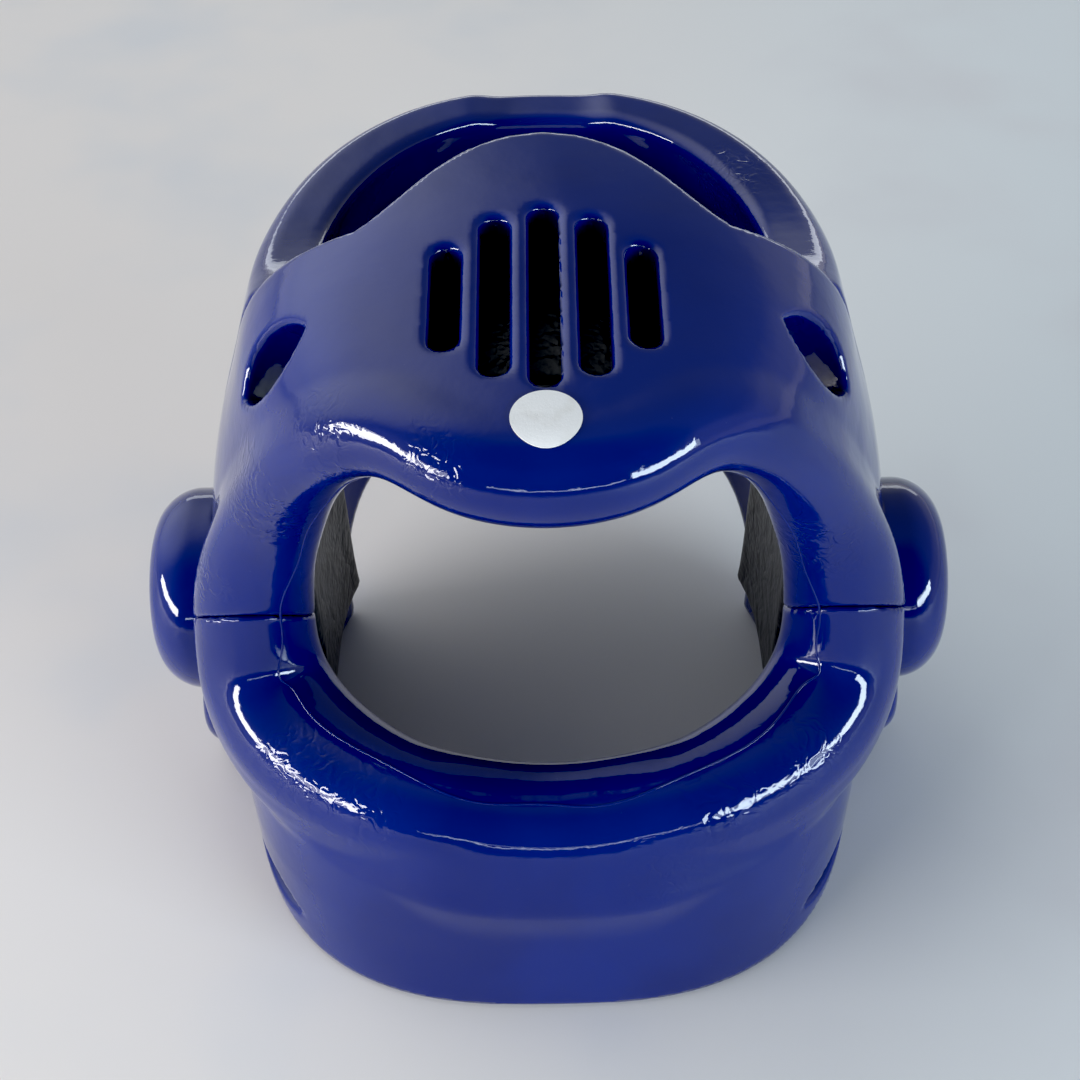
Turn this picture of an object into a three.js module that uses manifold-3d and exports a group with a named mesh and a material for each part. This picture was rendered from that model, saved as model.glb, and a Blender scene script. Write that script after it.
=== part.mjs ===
import * as THREE from 'three';
import { mergeVertices } from 'three/addons/utils/BufferGeometryUtils.js';
import Module from 'manifold-3d';

const wasm = await Module();
wasm.setup();

// Overall size of the foam shell in mm. The face looks along -Y, the foot stands on z = 0.
const HALF_WIDTH = 108;
const FRONT_REACH = 123;
const REAR_REACH = 126;
const HEIGHT = 231.5;
const WALL = 22;
const LINER = 8;
const GAP = 0.3;
const FAR = 400;

// A place in mm from shares of HALF_WIDTH, the reach on that side of the head, and HEIGHT.
const place = (x, y, z) => [x * HALF_WIDTH, y * (y < 0 ? FRONT_REACH : REAR_REACH), z * HEIGHT];
const sideLine = (rows) => rows.map(([y, z]) => place(0, y, z).slice(1));
const topLine = (rows) => rows.map(([x, y]) => place(x, y, 0).slice(0, 2));

// Ear pads and the small lobes under them. The lobe stands clear of the floor, the pad clear of the lobe.
const EAR_RADIUS = 34;
const EAR_REACH = 133;
const EAR_Y = -5;
const LOBE_RADIUS = 17;
const LOBE_REACH = 121;
const LOBE_Y = -8;
const LOBE_CLEARANCE = 3;
const PAD_CLEARANCE = 0.5;
const PAD_SOFTNESS = 0.4;
const LOBE_CENTRE = [0, LOBE_Y, LOBE_CLEARANCE + LOBE_RADIUS];
const EAR_CENTRE = [0, EAR_Y, LOBE_CENTRE[2] + LOBE_RADIUS + PAD_CLEARANCE + EAR_RADIUS];

// Openings and the label. A direction needs no scale of its own.
const CUT_DEPTH = 3 * WALL;
const SLOT_WIDTH = 8;
const SLOT_PITCH = 13;
const SLOT_CENTRE_Y = place(0, -0.4146, 0)[1];
const SLOT_LENGTHS = [66, 58, 38];
const LEAF = { length: 34, width: 18, centre: place(0.704, -0.374, 0.864), along: [19, 5, -28] };
const JAW = { length: 36, width: 8, centre: place(0.824, -0.634, 0.0518), along: [18, 31, 0] };
const LABEL = { radius: 9, thickness: 0.5, centre: place(0, -0.7724, 0.949) };
const HEAD_CENTRE = place(0, 0, 0.54);

// Where the linings lie: two opposite corners of a box.
const CROWN_LINING = [place(-0.463, -0.504, 0.8035), place(0.463, 0.0635, 1)];
const REAR_LINING = [place(-0.509, 0.238, 0.3456), place(0.509, 1, 0.7127)];
const SIDE_LINING = [place(0.37, -0.1463, 0.095), place(1, 0.357, 0.5184)];

// Horizontal sections of the shell: shares of HEIGHT, HALF_WIDTH, FRONT_REACH and REAR_REACH,
// then the power that makes the section squarer than an ellipse.
const SKIN_ROWS = [
  [0, 0.972, 1, 0.825, 2.5],
  [0.13, 0.991, 0.967, 0.905, 2.45],
  [0.259, 1, 0.943, 0.96, 2.35],
  [0.432, 1, 0.919, 0.992, 2.25],
  [0.626, 0.94, 0.902, 1, 2.2],
  [0.756, 0.856, 0.894, 0.992, 2.15],
  [0.842, 0.792, 0.89, 0.952, 2.15],
  [0.898, 0.704, 0.878, 0.857, 2.15],
  [0.933, 0.611, 0.837, 0.746, 2.15],
  [0.955, 0.528, 0.724, 0.635, 2.15],
  [0.985, 0.343, 0.341, 0.397, 2.15],
  [1, 0, 0, 0, 2.15],
];
const SECTION_STEPS = 48;
const RING_STEPS = 24;

// Half of the lip round the face opening, brow to chin:
// shares of HALF_WIDTH, FRONT_REACH and HEIGHT for its centre line, then its radius in mm.
const LIP_ROWS = [
  [0, 0.805, 0.877, 13],
  [0.167, 0.78, 0.882, 13],
  [0.259, 0.736, 0.89, 12.5],
  [0.37, 0.659, 0.89, 12],
  [0.481, 0.602, 0.86, 12],
  [0.569, 0.545, 0.808, 12],
  [0.657, 0.48, 0.734, 13],
  [0.722, 0.415, 0.652, 14.5],
  [0.787, 0.382, 0.575, 16],
  [0.833, 0.374, 0.497, 18],
  [0.852, 0.382, 0.419, 18.5],
  [0.847, 0.423, 0.352, 19.5],
  [0.782, 0.52, 0.3, 21],
  [0.606, 0.671, 0.283, 20.5],
  [0.38, 0.772, 0.279, 18.5],
  [0.176, 0.809, 0.274, 17.3],
  [0, 0.815, 0.27, 17],
];
const LIP_STEPS = 64;
const LIP_SIDES = 12;

// Side view of the seams, as shares along Y and Z.
const SIDE_SEAM = sideLine([[-0.0976, 0.8855], [-0.0407, 0.7559], [0, 0.6048], [0.0397, 0.3801]]);
const CHEEK_SEAM = sideLine([[-0.6098, 0.5659], [-0.3171, 0.4147], [0.0397, 0.3801]]);
const EAR_SEAM = sideLine([[0.0397, 0.3801], [0.0714, 0.1944], [0.0952, 0]]);
const REAR_RIM = sideLine([[-0.0862, 0.8596], [0.0794, 0.8294], [0.3175, 0.8035], [1, 0.7948]]);
const NAPE = sideLine([[0.4286, 0], [0.4762, 0.108], [0.5873, 0.1944], [0.754, 0.2419], [1, 0.2592]]);

// Top view of the rear edge of the crown lobe, centre to temple, as shares along X and Y.
const CROWN_EDGE = topLine([
  [0, 0.1627], [0.0926, 0.1468], [0.213, 0.0952], [0.2963, 0.0278], [0.3889, -0.065],
  [0.463, -0.122], [0.5556, -0.1545], [0.6667, -0.1301], [0.7593, -0.0976],
]);
const CROWN_FLOOR = 0.8609 * HEIGHT;

const blue = { color: 0x16237c, roughness: 0.12, metalness: 0 };
const black = { color: 0x101114, roughness: 0.9, metalness: 0 };
const white = { color: 0xf2f2ee, roughness: 0.6, metalness: 0 };

function toSolid(geometry) {
  geometry.deleteAttribute('normal');
  geometry.deleteAttribute('uv');
  const merged = mergeVertices(geometry, 1e-4);
  return new wasm.Manifold(new wasm.Mesh({
    numProp: 3,
    vertProperties: new Float32Array(merged.attributes.position.array),
    triVerts: new Uint32Array(merged.index.array),
  }));
}

function toMesh(name, solid, look) {
  const { vertProperties, triVerts } = solid.getMesh();
  const geometry = new THREE.BufferGeometry();
  geometry.setAttribute('position', new THREE.BufferAttribute(vertProperties, 3));
  geometry.setIndex(new THREE.BufferAttribute(triVerts, 1));
  const mesh = new THREE.Mesh(geometry, new THREE.MeshStandardMaterial(look));
  mesh.name = name;
  return mesh;
}

function indexed(points, triangles) {
  const geometry = new THREE.BufferGeometry().setFromPoints(points);
  geometry.setIndex(triangles);
  return geometry;
}

// The shell's skin moved inwards by inset, closed at the foot.
function skin(inset, floor = 0) {
  const row = ([up, half], reach) => {
    const down = inset * up ** 6;
    const inwards = inset - down / 2;
    return new THREE.Vector3(
      Math.max(half * HALF_WIDTH - inwards, 0), Math.max(reach - inwards, 0), up * HEIGHT - down);
  };
  const frontCurve = new THREE.CatmullRomCurve3(SKIN_ROWS.map((r) => row(r, r[2] * FRONT_REACH)), false, 'catmullrom');
  const rearCurve = new THREE.CatmullRomCurve3(SKIN_ROWS.map((r) => row(r, r[3] * REAR_REACH)), false, 'catmullrom');
  const powerCurve = new THREE.CatmullRomCurve3(
    SKIN_ROWS.map((r) => new THREE.Vector3(r[4], 0, 0)), false, 'catmullrom');
  const bend = (value, power) => Math.sign(value) * Math.abs(value) ** (2 / power);
  const points = [new THREE.Vector3(0, 0, floor)];
  for (let ring = 0; ring < RING_STEPS; ring += 1) {
    const front = frontCurve.getPoint(ring / RING_STEPS);
    const rear = rearCurve.getPoint(ring / RING_STEPS);
    const power = powerCurve.getPoint(ring / RING_STEPS).x;
    for (let step = 0; step < SECTION_STEPS; step += 1) {
      const angle = (2 * Math.PI * step) / SECTION_STEPS;
      const reach = Math.sin(angle) < 0 ? front.y : rear.y;
      const height = ring === 0 ? floor : front.z;
      const x = front.x * bend(Math.cos(angle), power);
      points.push(new THREE.Vector3(x, reach * bend(Math.sin(angle), power), height));
    }
  }
  points.push(new THREE.Vector3(0, 0, HEIGHT - inset));
  const top = points.length - 1;
  const triangles = [];
  for (let step = 0; step < SECTION_STEPS; step += 1) {
    const next = (step + 1) % SECTION_STEPS;
    triangles.push(0, 1 + next, 1 + step);
    for (let ring = 0; ring < RING_STEPS - 1; ring += 1) {
      const low = 1 + ring * SECTION_STEPS;
      const high = low + SECTION_STEPS;
      triangles.push(low + step, low + next, high + next, low + step, high + next, high + step);
    }
    const last = 1 + (RING_STEPS - 1) * SECTION_STEPS;
    triangles.push(last + step, last + next, top);
  }
  return toSolid(indexed(points, triangles));
}

// Both halves of the lip as one closed ring of points with radii.
const lipHalf = LIP_ROWS.map(([x, y, z, radius]) => ({
  centre: new THREE.Vector3(x * HALF_WIDTH, -y * FRONT_REACH, z * HEIGHT), radius,
}));
const lipOther = lipHalf.slice(1, -1).reverse().map(({ centre, radius }) => ({
  centre: new THREE.Vector3(-centre.x, centre.y, centre.z), radius,
}));
const lipRing = [...lipHalf, ...lipOther];
const lipCurve = new THREE.CatmullRomCurve3(lipRing.map((knot) => knot.centre), true, 'catmullrom');
const lipSizes = new THREE.CatmullRomCurve3(
  lipRing.map((knot) => new THREE.Vector3(knot.radius, 0, 0)), true, 'catmullrom');

function lip(grow) {
  const points = [];
  const triangles = [];
  for (let step = 0; step < LIP_STEPS; step += 1) {
    const at = step / LIP_STEPS;
    const centre = lipCurve.getPoint(at);
    const radius = lipSizes.getPoint(at).x + grow;
    const tangent = lipCurve.getPoint(at + 1e-3).sub(lipCurve.getPoint((at + 1 - 1e-3) % 1)).normalize();
    const across = new THREE.Vector3(0, -1, 0).cross(tangent).normalize();
    const ahead = tangent.clone().cross(across);
    for (let side = 0; side < LIP_SIDES; side += 1) {
      const angle = (2 * Math.PI * side) / LIP_SIDES;
      points.push(centre.clone()
        .addScaledVector(across, radius * Math.cos(angle))
        .addScaledVector(ahead, radius * Math.sin(angle)));
      const here = step * LIP_SIDES;
      const there = ((step + 1) % LIP_STEPS) * LIP_SIDES;
      const next = (side + 1) % LIP_SIDES;
      triangles.push(here + side, here + next, there + next, here + side, there + next, there + side);
    }
  }
  return toSolid(indexed(points, triangles));
}

// A cone from the middle of the head through the lip's centre line, which opens the face.
function faceCone() {
  const apex = new THREE.Vector3(...HEAD_CENTRE);
  const points = [apex, new THREE.Vector3(0, -FAR, HEAD_CENTRE[2])];
  const triangles = [];
  for (let step = 0; step < LIP_STEPS; step += 1) {
    const ray = lipCurve.getPoint(step / LIP_STEPS).sub(apex);
    points.push(apex.clone().addScaledVector(ray, 3));
    const next = (step + 1) % LIP_STEPS;
    triangles.push(0, 2 + step, 2 + next, 1, 2 + next, 2 + step);
  }
  return toSolid(indexed(points, triangles));
}

function outline(points) {
  return new THREE.Shape(points.map(([x, y]) => new THREE.Vector2(x, y)));
}

// A side view outline (y, z) pulled through the whole width.
function sidePrism(points) {
  const geometry = new THREE.ExtrudeGeometry(outline(points), { depth: 2 * FAR, bevelEnabled: false });
  geometry.applyMatrix4(new THREE.Matrix4().makeBasis(
    new THREE.Vector3(0, 1, 0), new THREE.Vector3(0, 0, 1), new THREE.Vector3(1, 0, 0)));
  geometry.translate(-FAR, 0, 0);
  return toSolid(geometry);
}

function seamRibbon(line) {
  const half = GAP / 2;
  const upper = line.map(([y, z]) => [y + half, z + half]);
  const lower = line.map(([y, z]) => [y - half, z - half]).reverse();
  return sidePrism([...upper, ...lower]);
}

function box([low, high], side = 1) {
  const size = high.map((value, axis) => value - low[axis]);
  const geometry = new THREE.BoxGeometry(...size);
  geometry.translate((side * (low[0] + high[0])) / 2, (low[1] + high[1]) / 2, (low[2] + high[2]) / 2);
  return toSolid(geometry);
}

function stadium(length, width) {
  const radius = width / 2;
  const run = length / 2 - radius;
  const shape = new THREE.Shape();
  shape.absarc(run, 0, radius, -Math.PI / 2, Math.PI / 2, false);
  shape.absarc(-run, 0, radius, Math.PI / 2, 1.5 * Math.PI, false);
  return shape;
}

function leafShape(length, width) {
  const shape = new THREE.Shape();
  shape.moveTo(-length / 2, 0);
  shape.quadraticCurveTo(0, -width, length / 2, 0);
  shape.quadraticCurveTo(0, width, -length / 2, 0);
  return shape;
}

// A cutter that points from the middle of the head out through a place on the shell.
function radialCutter(shape, centre, along, side) {
  const spot = new THREE.Vector3(centre[0] * side, centre[1], centre[2]);
  const base = new THREE.Vector3(0, 0, Math.min(centre[2], HEAD_CENTRE[2]));
  const out = spot.clone().sub(base).normalize();
  const long = new THREE.Vector3(along[0] * side, along[1], along[2]);
  const across = out.clone().cross(long).normalize();
  const level = across.clone().cross(out);
  const geometry = new THREE.ExtrudeGeometry(shape, { depth: CUT_DEPTH, bevelEnabled: false, curveSegments: 6 });
  geometry.translate(0, 0, -CUT_DEPTH / 2);
  geometry.applyMatrix4(new THREE.Matrix4().makeBasis(level, across, out).setPosition(spot));
  return toSolid(geometry);
}

function crownSlots() {
  const rows = [-2, -1, 0, 1, 2];
  const cutters = rows.map((row) => {
    const shape = stadium(SLOT_LENGTHS[Math.abs(row)], SLOT_WIDTH);
    const geometry = new THREE.ExtrudeGeometry(shape, { depth: CUT_DEPTH, bevelEnabled: false, curveSegments: 5 });
    geometry.rotateZ(Math.PI / 2);
    geometry.translate(row * SLOT_PITCH, SLOT_CENTRE_Y, CROWN_FLOOR);
    return toSolid(geometry);
  });
  return wasm.Manifold.union(cutters);
}

function crownPrism(floor, back) {
  const right = CROWN_EDGE;
  const left = CROWN_EDGE.slice(1).reverse().map(([x, y]) => [-x, y]);
  const edge = right[right.length - 1][0];
  const shape = outline([[-edge, -FAR], [edge, -FAR], ...[...right].reverse(), ...left.reverse()]);
  const geometry = new THREE.ExtrudeGeometry(shape, { depth: FAR, bevelEnabled: false });
  geometry.translate(0, -back, floor);
  return toSolid(geometry);
}

// A round pad with a soft outer edge, its axis along X.
function roundPad(radius, inner, reach, centre, side) {
  const soft = (reach - HALF_WIDTH + WALL / 2) * PAD_SOFTNESS;
  const profile = [[0, inner], [radius, inner], [radius, reach - soft]];
  for (const angle of [30, 60, 90]) {
    const turn = THREE.MathUtils.degToRad(angle);
    profile.push([radius - soft * (1 - Math.cos(turn)), reach - soft * (1 - Math.sin(turn))]);
  }
  profile.push([0, reach]);
  const geometry = new THREE.LatheGeometry(profile.map(([r, x]) => new THREE.Vector2(r, x)), 32);
  geometry.rotateZ(-side * Math.PI / 2);
  geometry.translate(...centre);
  return toSolid(geometry);
}

const outer = skin(0);
const outerClear = skin(-GAP, -GAP);
const cavity = skin(WALL, -WALL);
const roll = lip(0);

const shell = outer.subtract(cavity).subtract(faceCone()).add(roll)
  .subtract(box([[-FAR, -FAR, -FAR], [FAR, FAR, 0]]));

const frontSide = sidePrism([
  [-FAR, FAR], [-FAR, CHEEK_SEAM[0][1]], ...CHEEK_SEAM, ...[...SIDE_SEAM].reverse().slice(1), [SIDE_SEAM[0][0], FAR],
]);
const chinSide = sidePrism([
  ...CHEEK_SEAM, ...EAR_SEAM.slice(1), [EAR_SEAM[EAR_SEAM.length - 1][0], -1], [-FAR, -1], [-FAR, CHEEK_SEAM[0][1]],
]);
const rearSide = sidePrism([
  ...SIDE_SEAM.slice(1), ...EAR_SEAM.slice(1), ...NAPE, [FAR, NAPE[NAPE.length - 1][1]],
  [FAR, REAR_RIM[REAR_RIM.length - 1][1]], ...[...REAR_RIM].reverse(),
]);
const seams = wasm.Manifold.union([seamRibbon(SIDE_SEAM), seamRibbon(CHEEK_SEAM), seamRibbon(EAR_SEAM)]);

const leafVents = [-1, 1].map((side) => (
  radialCutter(leafShape(LEAF.length, LEAF.width), LEAF.centre, LEAF.along, side)));
const jawVents = [-1, 1].map((side) => (
  radialCutter(leafShape(JAW.length, JAW.width), JAW.centre, JAW.along, side)));

const frontShell = shell.intersect(frontSide.add(crownPrism(CROWN_FLOOR, 0))).subtract(seams)
  .subtract(crownSlots()).subtract(wasm.Manifold.union(leafVents));
const chinGuard = shell.intersect(chinSide).subtract(seams).subtract(wasm.Manifold.union(jawVents));
const rearShell = shell.intersect(rearSide).subtract(seams);

const lining = skin(WALL + GAP, -WALL).subtract(skin(WALL + GAP + LINER, -WALL)).subtract(lip(GAP));
const label = skin(-GAP - LABEL.thickness).subtract(outerClear).subtract(lip(GAP))
  .intersect(radialCutter(stadium(2 * LABEL.radius, 2 * LABEL.radius), LABEL.centre, [1, 0, 0], 1));

const parts = [
  toMesh('front_shell', frontShell, blue),
  toMesh('chin_guard', chinGuard, blue),
  toMesh('rear_shell', rearShell, blue),
  toMesh('liner_crown', lining.intersect(box(CROWN_LINING)).intersect(crownPrism(0, LINER)), black),
  toMesh('liner_rear', lining.intersect(box(REAR_LINING)), black),
  toMesh('size_label', label, white),
];
for (const [word, side] of [['left', 1], ['right', -1]]) {
  const ear = roundPad(EAR_RADIUS, HALF_WIDTH - WALL, EAR_REACH, EAR_CENTRE, side).subtract(outerClear);
  const lobe = roundPad(LOBE_RADIUS, HALF_WIDTH - WALL, LOBE_REACH, LOBE_CENTRE, side).subtract(outerClear);
  const liner = lining.intersect(box(SIDE_LINING, side));
  parts.push(toMesh(`ear_pad_${word}`, ear, blue));
  parts.push(toMesh(`ear_lobe_${word}`, lobe, blue));
  parts.push(toMesh(`liner_${word}`, liner, black));
}

const headgear = new THREE.Group();
headgear.name = 'taekwondo_headgear';
headgear.add(...parts);

export default headgear;
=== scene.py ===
import math

import bpy
import numpy as np
from mathutils import Matrix, Vector


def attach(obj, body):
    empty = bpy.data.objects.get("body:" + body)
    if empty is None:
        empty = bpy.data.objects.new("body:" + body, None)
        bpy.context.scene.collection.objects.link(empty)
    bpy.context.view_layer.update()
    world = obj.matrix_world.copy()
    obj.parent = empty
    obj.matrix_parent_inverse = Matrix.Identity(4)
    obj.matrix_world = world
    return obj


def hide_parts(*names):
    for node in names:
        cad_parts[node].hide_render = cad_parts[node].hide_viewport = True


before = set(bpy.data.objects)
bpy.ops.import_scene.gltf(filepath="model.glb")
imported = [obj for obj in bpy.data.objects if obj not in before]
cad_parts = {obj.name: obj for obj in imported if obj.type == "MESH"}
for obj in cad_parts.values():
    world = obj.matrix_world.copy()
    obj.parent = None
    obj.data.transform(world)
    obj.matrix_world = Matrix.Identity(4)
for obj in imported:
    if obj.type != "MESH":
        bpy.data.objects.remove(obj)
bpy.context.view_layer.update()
print("frame loaded")

# every shape is a distance field in mm: negative inside, zero on the surface

shell = {
    # height, half width, front reach, rear reach, squareness of the section
    "rows": [
        (-20, 103.5, 126.5, 98, 2.8),
        (0, 104.5, 125.6, 104, 2.8),
        (30, 106.5, 122.3, 114, 2.7),
        (60, 107.5, 119.5, 121, 2.5),
        (100, 108, 114, 125.5, 2.35),
        (145, 101.5, 111, 127.5, 2.3),
        (175, 92.5, 110, 127, 2.3),
        (195, 85.5, 109.5, 121, 2.25),
        (208, 76, 108, 108.5, 2.2),
        (216, 66, 103, 94, 2.2),
        (221, 57, 89, 80, 2.15),
        (228, 37, 42, 50, 2.15),
    ],
    "top": 231.5,
    "wall": 21.5,
    # how late an inset turns from sideways to downwards on the way up
    "turn": 6,
    "footEdge": 2.5,
    "innerEdge": 4.0,
    # the heights that the sections are tabled for, and the reach of a probe for the slope
    "tabled": (-40, 260),
    "probe": 0.4,
}


def cubicTable(knots, values, start, stop, step=0.1):
    # natural cubic spline through the knots, sampled for fast lookup
    knots, values = np.array(knots, float), np.array(values, float)
    gap = np.diff(knots)
    size = len(knots)
    system = np.eye(size)
    right = np.zeros(size)
    for i in range(1, size - 1):
        system[i, i - 1:i + 2] = gap[i - 1], 2 * (gap[i - 1] + gap[i]), gap[i]
        right[i] = 6 * ((values[i + 1] - values[i]) / gap[i] - (values[i] - values[i - 1]) / gap[i - 1])
    bend = np.linalg.solve(system, right)
    at = np.arange(start, stop, step)
    i = np.clip(np.searchsorted(knots, at) - 1, 0, size - 2)
    inside = np.clip(at, knots[0], knots[-1])
    low, high = inside - knots[i], knots[i + 1] - inside
    out = (bend[i] * high ** 3 + bend[i + 1] * low ** 3) / (6 * gap[i])
    out += (values[i] / gap[i] - bend[i] * gap[i] / 6) * high
    out += (values[i + 1] / gap[i] - bend[i + 1] * gap[i] / 6) * low
    slope = (values[-1] - values[-2]) / gap[-1]
    return at, out + np.where(at > knots[-1], slope * (at - knots[-1]), 0)


def skinTables(inset):
    # the same skin moved inwards: sideways at the walls, downwards at the crown
    heights, widths, fronts, rears, powers = np.array(shell["rows"], float).T
    up = np.clip(heights / shell["top"], 0, 1)
    down = inset * up ** shell["turn"]
    inwards = inset - down / 2
    heights, widths, fronts, rears = heights - down, widths - inwards, fronts - inwards, rears - inwards
    knots = np.append(heights, shell["top"] - inset)
    start, stop = shell["tabled"]
    at, square = cubicTable(knots, np.append(widths ** 2, 0), start, stop)
    frontRatio, rearRatio = (
        cubicTable(knots, np.append(widths / reach, widths[-1] / reach[-1]), start, stop)[1]
        for reach in (fronts, rears))
    return at, square, frontRatio, rearRatio, np.interp(at, heights, powers)


def skinLevel(p, tables):
    at, square, frontRatio, rearRatio, power = tables
    z = p[:, 2]
    n = np.interp(z, at, power)
    ratio = np.where(p[:, 1] < 0, np.interp(z, at, frontRatio), np.interp(z, at, rearRatio))
    section = (np.abs(p[:, 0]) ** n + np.abs(p[:, 1] * ratio) ** n) ** (2 / n)
    return section - np.interp(z, at, square)


def skinDistance(p, tables):
    # first-order distance: level over the length of its gradient
    level = skinLevel(p, tables)
    slope = np.zeros(len(p))
    probe = shell["probe"]
    for axis in range(3):
        step = np.zeros(3)
        step[axis] = probe
        slope += ((skinLevel(p + step, tables) - skinLevel(p - step, tables)) / (2 * probe)) ** 2
    return level / np.sqrt(slope + 1e-6)


def roundCut(a, b, radius):
    # intersection of two fields with a rounded convex edge
    corner = np.hypot(np.maximum(a + radius, 0), np.maximum(b + radius, 0))
    return np.minimum(-radius, np.maximum(a, b)) + corner


def roundJoin(a, b, radius):
    return -roundCut(-a, -b, radius)


outerTables = skinTables(0)
innerTables = skinTables(shell["wall"])


def shellWall(p):
    wall = roundCut(skinDistance(p, outerTables), -skinDistance(p, innerTables), shell["innerEdge"])
    return roundCut(wall, -p[:, 2], shell["footEdge"])


lip = {
    # centre line from brow to chin, x y z, then the radius
    "points": [
        (0, -99, 203, 13), (18, -96, 204.2, 13), (28, -90.5, 206, 12.5), (40, -81, 206, 12),
        (52, -74, 199, 12), (61.4, -67, 187, 12), (71, -59, 170, 13), (78, -51, 151, 14.5),
        (85, -47, 133, 16), (90, -46, 115, 18), (92, -47, 97, 18.5), (91.5, -52, 81.5, 19.5),
        (84.5, -64, 69.5, 21), (65.5, -82.5, 65.5, 20.5), (41, -95, 64.5, 18.5), (19, -99.5, 63.5, 17.3),
        (0, -100.3, 62.5, 17),
    ],
    # the squarer outer edge of the lip: how far out, how far down, radius
    "edges": [
        (0, 0, 8), (0, 0, 8), (0, 0, 8), (0, 0, 8), (4, 1, 6), (6, 1, 6), (7.5, 0, 6), (9, 0, 6.5),
        (10, 0, 7), (9, 2, 8), (8, 6, 8), (8.5, 11, 8.5), (9.5, 12.5, 8.5), (10, 12.5, 8.5), (9.5, 11, 8),
        (8, 8.5, 7), (7, 8, 7),
    ],
    "edgeBlend": 6.0,
    "samples": 260,
    "averaging": 40,
    # behind this y or under this z the lip counts as far away
    "behind": 20,
    "under": 20,
    "far": 60.0,
    "browBlend": 4.5,
    "jawBlend": 2.5,
    "chinBlend": 20.0,
    "chinHalf": 48.0,
    # the height where the brow's blend begins, and the rise over which it takes over
    "browFrom": 95,
    "browRise": 40,
    "holeEdge": 3.0,
    # the opening is a cone from here through every third point of the lip
    "headCentre": (0, 0, 125),
    "holeStep": 3,
    "holeBack": -8,
    "holeLeast": 4.0,
    "holeFar": 40.0,
}


def catmullRom(a, b, c, d, t):
    # the smooth stretch from b to c, at shares t of it
    square, cube = (2 * a - 5 * b + 4 * c - d) * t ** 2, (3 * b - a - 3 * c + d) * t ** 3
    return 0.5 * (2 * b + (c - a) * t + square + cube)


def closedCurve(points):
    # smooth closed curve: Catmull-Rom, then a little averaging along it
    ring = np.array(points, float)
    count = len(ring)
    at = np.linspace(0, count, lip["samples"], endpoint=False)
    i = at.astype(int)
    curve = catmullRom(*(ring[(i + k) % count] for k in (-1, 0, 1, 2)), (at - i)[:, None])
    for _ in range(lip["averaging"]):
        curve = 0.25 * np.roll(curve, 1, 0) + 0.5 * curve + 0.25 * np.roll(curve, -1, 0)
    return curve


def mirrorRing(half):
    return half + [(-x, y, z, r) for x, y, z, r in reversed(half[1:-1])]


def edgeRing():
    # the lip's centre line moved sideways out of the head and down
    out = []
    for (x, y, z, _), (away, drop, radius) in zip(lip["points"], lip["edges"]):
        size = math.hypot(x, y)
        out.append((x + away * x / size, y + away * y / size, z - drop, radius))
    return mirrorRing(out)


lipCurve = closedCurve(mirrorRing(lip["points"]))
edgeCurve = closedCurve(edgeRing())


def curveDistance(p, curve, bulk=20000):
    # distance to the nearest stretch of the closed curve, less the radius there
    start, end = curve, np.roll(curve, -1, 0)
    along = end[:, :3] - start[:, :3]
    size = (along ** 2).sum(1)
    out = np.empty(len(p))
    for first in range(0, len(p), bulk):
        q = p[first:first + bulk]
        nearest = np.argmin(((q[:, None, :] - start[None, :, :3]) ** 2).sum(2), axis=1)
        best = np.full(len(q), 1e9)
        for shift in (-1, 0):
            i = (nearest + shift) % len(curve)
            t = np.clip(((q - start[i, :3]) * along[i]).sum(1) / size[i], 0, 1)
            foot = start[i, :3] + along[i] * t[:, None]
            radius = start[i, 3] * (1 - t) + end[i, 3] * t
            best = np.minimum(best, np.sqrt(((q - foot) ** 2).sum(1)) - radius)
        out[first:first + bulk] = best
    return out


def lipDistance(p):
    out = np.full(len(p), lip["far"])
    near = (p[:, 1] < lip["behind"]) & (p[:, 2] > lip["under"])
    tube, edge = curveDistance(p[near], lipCurve), curveDistance(p[near], edgeCurve)
    out[near] = roundJoin(tube, edge, lip["edgeBlend"])
    return out


def polygonDistance(x, y, polygon, bulk=200000):
    # signed distance to a closed polygon, negative inside
    polygon = np.array(polygon, float)
    out = np.empty(len(x))
    for first in range(0, len(x), bulk):
        qx, qy = x[first:first + bulk], y[first:first + bulk]
        best = np.full(len(qx), 1e18)
        inside = np.zeros(len(qx), bool)
        for (ax, ay), (bx, by) in zip(polygon, np.roll(polygon, -1, 0)):
            ex, ey = bx - ax, by - ay
            t = np.clip(((qx - ax) * ex + (qy - ay) * ey) / (ex * ex + ey * ey + 1e-12), 0, 1)
            best = np.minimum(best, (qx - ax - ex * t) ** 2 + (qy - ay - ey * t) ** 2)
            cross = (ay > qy) != (by > qy)
            inside ^= cross & (qx < ex * (qy - ay) / (ey if ey else 1e-12) + ax)
        out[first:first + bulk] = np.where(inside, -1, 1) * np.sqrt(best)
    return out


def faceHole(p):
    # the cone from the middle of the head through the lip, negative inside the opening
    centre = np.array(lip["headCentre"], float)
    ahead = np.maximum(-(p[:, 1] - centre[1]), lip["holeLeast"])
    outline = lipCurve[::lip["holeStep"]]
    outlineAhead = -(outline[:, 1] - centre[1])
    polygon = np.stack([outline[:, 0] / outlineAhead, (outline[:, 2] - centre[2]) / outlineAhead], 1)
    flat = polygonDistance(p[:, 0] / ahead, (p[:, 2] - centre[2]) / ahead, polygon)
    return np.where(p[:, 1] < lip["holeBack"], flat * ahead, lip["holeFar"])


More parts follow.
